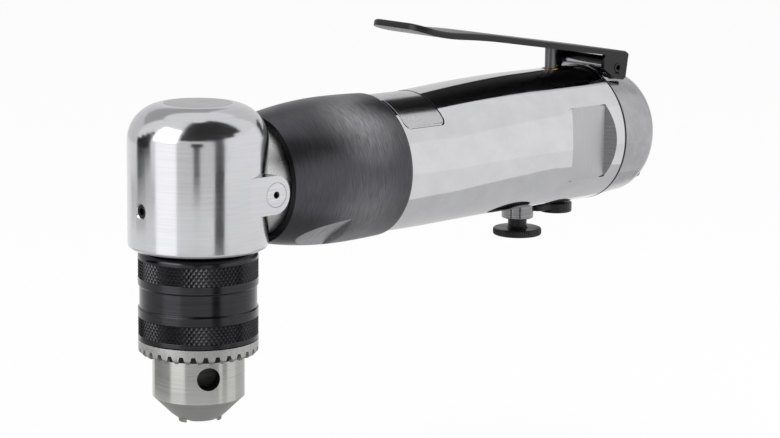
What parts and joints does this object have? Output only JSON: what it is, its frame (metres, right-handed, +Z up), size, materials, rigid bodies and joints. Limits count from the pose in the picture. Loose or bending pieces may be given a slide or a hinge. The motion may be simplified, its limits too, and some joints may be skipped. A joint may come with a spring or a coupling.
{
  "type": "right angle air drill",
  "caption": "Hand-held air drill with a polished handle, a squeeze lever, a right angle gear head and a keyed jaw chuck that opens and closes.",
  "frame": {"origin": "centre of the chuck's nose, on the spindle axis, with the jaws open", "axes": "+Z up along the spindle axis, +X back along the handle"},
  "size_m": [0.1893, 0.043, 0.1098],
  "materials": {
    "polished_housing": "polished",
    "polished_head": "polished",
    "black_sleeve": "black oxide",
    "black_controls": "satin black",
    "black_chuck": "gloss black",
    "bright_steel": "bright",
    "gear_steel": "machined",
    "brass": "machined",
    "plate": "satin",
    "vane": "matte",
    "gasket": "matte"
  },
  "bodies": {
    "housing": {"angle_head": "polished_head", "grease_plug": "bright_steel", "head_set_screw": "gear_steel", "spindle_top_bearing": "gear_steel", "spindle_bearing_ring": "gear_steel", "bearing_retainer": "gear_steel", "carrier_bearing_ring": "gear_steel", "carrier_needle_bearing": "gear_steel", "ring_gear": "gear_steel", "coupling_sleeve": "black_sleeve", "motor_housing": "polished_housing", "front_end_plate": "gear_steel", "front_rotor_bearing_ring": "gear_steel", "motor_cylinder": "gear_steel", "rear_end_plate": "gear_steel", "rear_rotor_bearing_ring": "gear_steel", "name_plate": "plate", "seam_gasket": "gasket", "rear_cap": "polished_housing", "cap_screws": "gear_steel", "inlet_bushing": "bright_steel", "inlet_screen": "brass", "lever_pin": "bright_steel", "stem_bushing": "brass", "throttle_spring": "gear_steel", "regulator_bushing": "bright_steel"},
    "spindle": {"spindle": "bright_steel", "spindle_bearing_race": "gear_steel", "bevel_gear": "gear_steel", "chuck_body": "bright_steel", "chuck_screw": "gear_steel"},
    "carrier": {"planet_carrier": "gear_steel", "bevel_pinion": "gear_steel", "carrier_bearing_race": "gear_steel", "planet_pins": "gear_steel"},
    "planet_1": {"planet_gear_1": "gear_steel"},
    "planet_2": {"planet_gear_2": "gear_steel"},
    "planet_3": {"planet_gear_3": "gear_steel"},
    "rotor": {"rotor": "gear_steel", "rotor_vanes": "vane", "sun_pinion": "gear_steel", "front_rotor_bearing_race": "gear_steel", "rear_rotor_bearing_race": "gear_steel"},
    "chuck_sleeve": {"chuck_sleeve": "black_chuck", "chuck_gear_ring": "bright_steel", "chuck_nut": "gear_steel"},
    "jaw_1": {"jaw_1": "bright_steel"},
    "jaw_2": {"jaw_2": "bright_steel"},
    "jaw_3": {"jaw_3": "bright_steel"},
    "throttle_lever": {"throttle_lever": "black_controls"},
    "throttle_stem": {"throttle_stem": "bright_steel"},
    "regulator_knob": {"regulator_knob": "black_controls"},
    "reverse_lever": {"reverse_lever": "black_controls"}
  },
  "joints": [
    {"name": "spindle_spin", "type": "hinge", "parent": "housing", "child": "spindle", "pos_m": [0, 0, 0.02], "axis": [0, 0, 1], "continuous": true},
    {"name": "carrier_spin", "type": "hinge", "parent": "housing", "child": "carrier", "pos_m": [0.03, 0, 0.0662], "axis": [1, 0, 0], "continuous": true},
    {"name": "rotor_spin", "type": "hinge", "parent": "housing", "child": "rotor", "pos_m": [0.07, 0, 0.0662], "axis": [1, 0, 0], "continuous": true},
    {"name": "chuck_sleeve_turn", "type": "hinge", "parent": "spindle", "child": "chuck_sleeve", "pos_m": [0, 0, 0.03], "axis": [0, 0, 1], "range_deg": [0, 4574]},
    {"name": "planet_1_spin", "type": "hinge", "parent": "carrier", "child": "planet_1", "pos_m": [0.0425, 0, 0.0578], "axis": [1, 0, 0], "continuous": true},
    {"name": "planet_2_spin", "type": "hinge", "parent": "carrier", "child": "planet_2", "pos_m": [0.0425, 0.00727, 0.0704], "axis": [1, 0, 0], "continuous": true},
    {"name": "planet_3_spin", "type": "hinge", "parent": "carrier", "child": "planet_3", "pos_m": [0.0425, -0.00727, 0.0704], "axis": [1, 0, 0], "continuous": true},
    {"name": "jaw_1_slide", "type": "slide", "parent": "spindle", "child": "jaw_1", "axis": [-0.1257, 0.1762, -0.9763], "range_m": [0, 0.02034]},
    {"name": "jaw_2_slide", "type": "slide", "parent": "spindle", "child": "jaw_2", "axis": [-0.0898, -0.197, -0.9763], "range_m": [0, 0.02034]},
    {"name": "jaw_3_slide", "type": "slide", "parent": "spindle", "child": "jaw_3", "axis": [0.2154, 0.0207, -0.9763], "range_m": [0, 0.02034]},
    {"name": "lever_swing", "type": "hinge", "parent": "housing", "child": "throttle_lever", "pos_m": [0.156, 0, 0.0889], "axis": [0, -1, 0], "range_deg": [0, 8.9], "stiffness_Nm_per_rad": 2, "springref_deg": -11.46},
    {"name": "stem_slide", "type": "slide", "parent": "housing", "child": "throttle_stem", "axis": [0, 0, -1], "range_m": [0, 0.0029], "deforming": ["throttle_spring"]},
    {"name": "regulator_turn", "type": "hinge", "parent": "housing", "child": "regulator_knob", "pos_m": [0.125, 0, 0.04], "axis": [0, 0, 1], "range_deg": [0, 270]},
    {"name": "reverse_turn", "type": "hinge", "parent": "housing", "child": "reverse_lever", "pos_m": [0.1417, 0, 0.045], "axis": [0, 0, 1], "range_deg": [-30, 30]}
  ],
  "couplings": [
    {"joint": "carrier_spin", "follows": "spindle_spin", "ratio": -1.75},
    {"joint": "rotor_spin", "follows": "spindle_spin", "ratio": -8.1667},
    {"joint": "stem_slide", "follows": "lever_swing", "m_per_rad": 0.0184},
    {"joint": "planet_1_spin", "follows": "spindle_spin", "ratio": 4.8125},
    {"joint": "jaw_1_slide", "follows": "chuck_sleeve_turn", "m_per_rad": 0.00025465},
    {"joint": "planet_2_spin", "follows": "spindle_spin", "ratio": 4.8125},
    {"joint": "jaw_2_slide", "follows": "chuck_sleeve_turn", "m_per_rad": 0.00025465},
    {"joint": "planet_3_spin", "follows": "spindle_spin", "ratio": 4.8125},
    {"joint": "jaw_3_slide", "follows": "chuck_sleeve_turn", "m_per_rad": 0.00025465}
  ]
}
